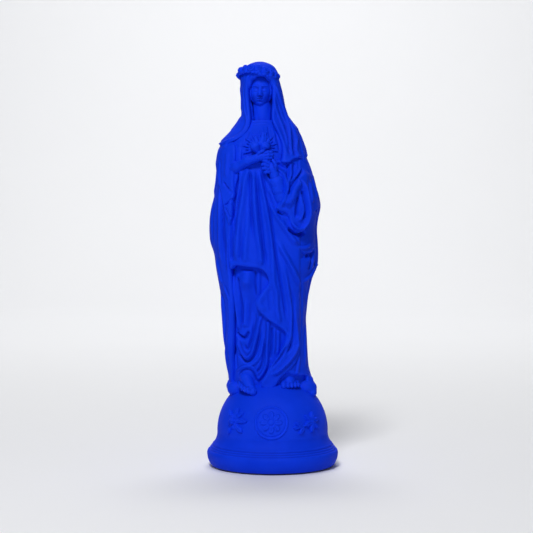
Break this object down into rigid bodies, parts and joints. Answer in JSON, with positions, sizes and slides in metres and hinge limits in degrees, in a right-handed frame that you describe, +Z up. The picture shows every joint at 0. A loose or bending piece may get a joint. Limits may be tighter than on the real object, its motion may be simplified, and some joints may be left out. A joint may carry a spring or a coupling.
{
  "type": "madonna statue",
  "caption": "Matt single-colour cast statue of a standing veiled woman with rose wreath and rayed heart, on a half globe and round moulded plinth with a felt foot.",
  "frame": {"origin": "centre of the underside of the felt pad", "axes": "+Z up along the statue's height, -Y the way the figure faces, +X to the figure's left, the viewer's right"},
  "size_m": [0.13, 0.13, 0.4],
  "materials": {
    "matt_blue": "cast plaster sprayed with one matt ultramarine coat",
    "felt": "dark blue wool felt glued to the underside",
    "zinc_steel": "bright zinc-plated steel"
  },
  "bodies": {
    "root": {"felt_pad": "felt", "plinth": "matt_blue", "globe": "matt_blue", "medallion": "matt_blue", "rose_spray": "matt_blue", "lily_spray": "matt_blue", "cloud_bank": "matt_blue", "right_foot": "matt_blue", "left_foot": "matt_blue", "robe": "matt_blue", "mantle": "matt_blue", "mantle_apron": "matt_blue", "left_arm_drape": "matt_blue", "right_sleeve": "matt_blue", "left_sleeve": "matt_blue", "right_hand": "matt_blue", "left_hand": "matt_blue", "heart": "matt_blue", "heart_flame": "matt_blue", "heart_rays": "matt_blue", "head": "matt_blue", "rose_crown": "matt_blue", "veil": "matt_blue", "tie_rod": "zinc_steel", "rod_washer": "zinc_steel", "rod_nut": "zinc_steel", "rod_anchor": "zinc_steel", "head_dowel": "zinc_steel", "right_hand_dowel": "zinc_steel", "left_hand_dowel": "zinc_steel"}
  },
  "joints": []
}
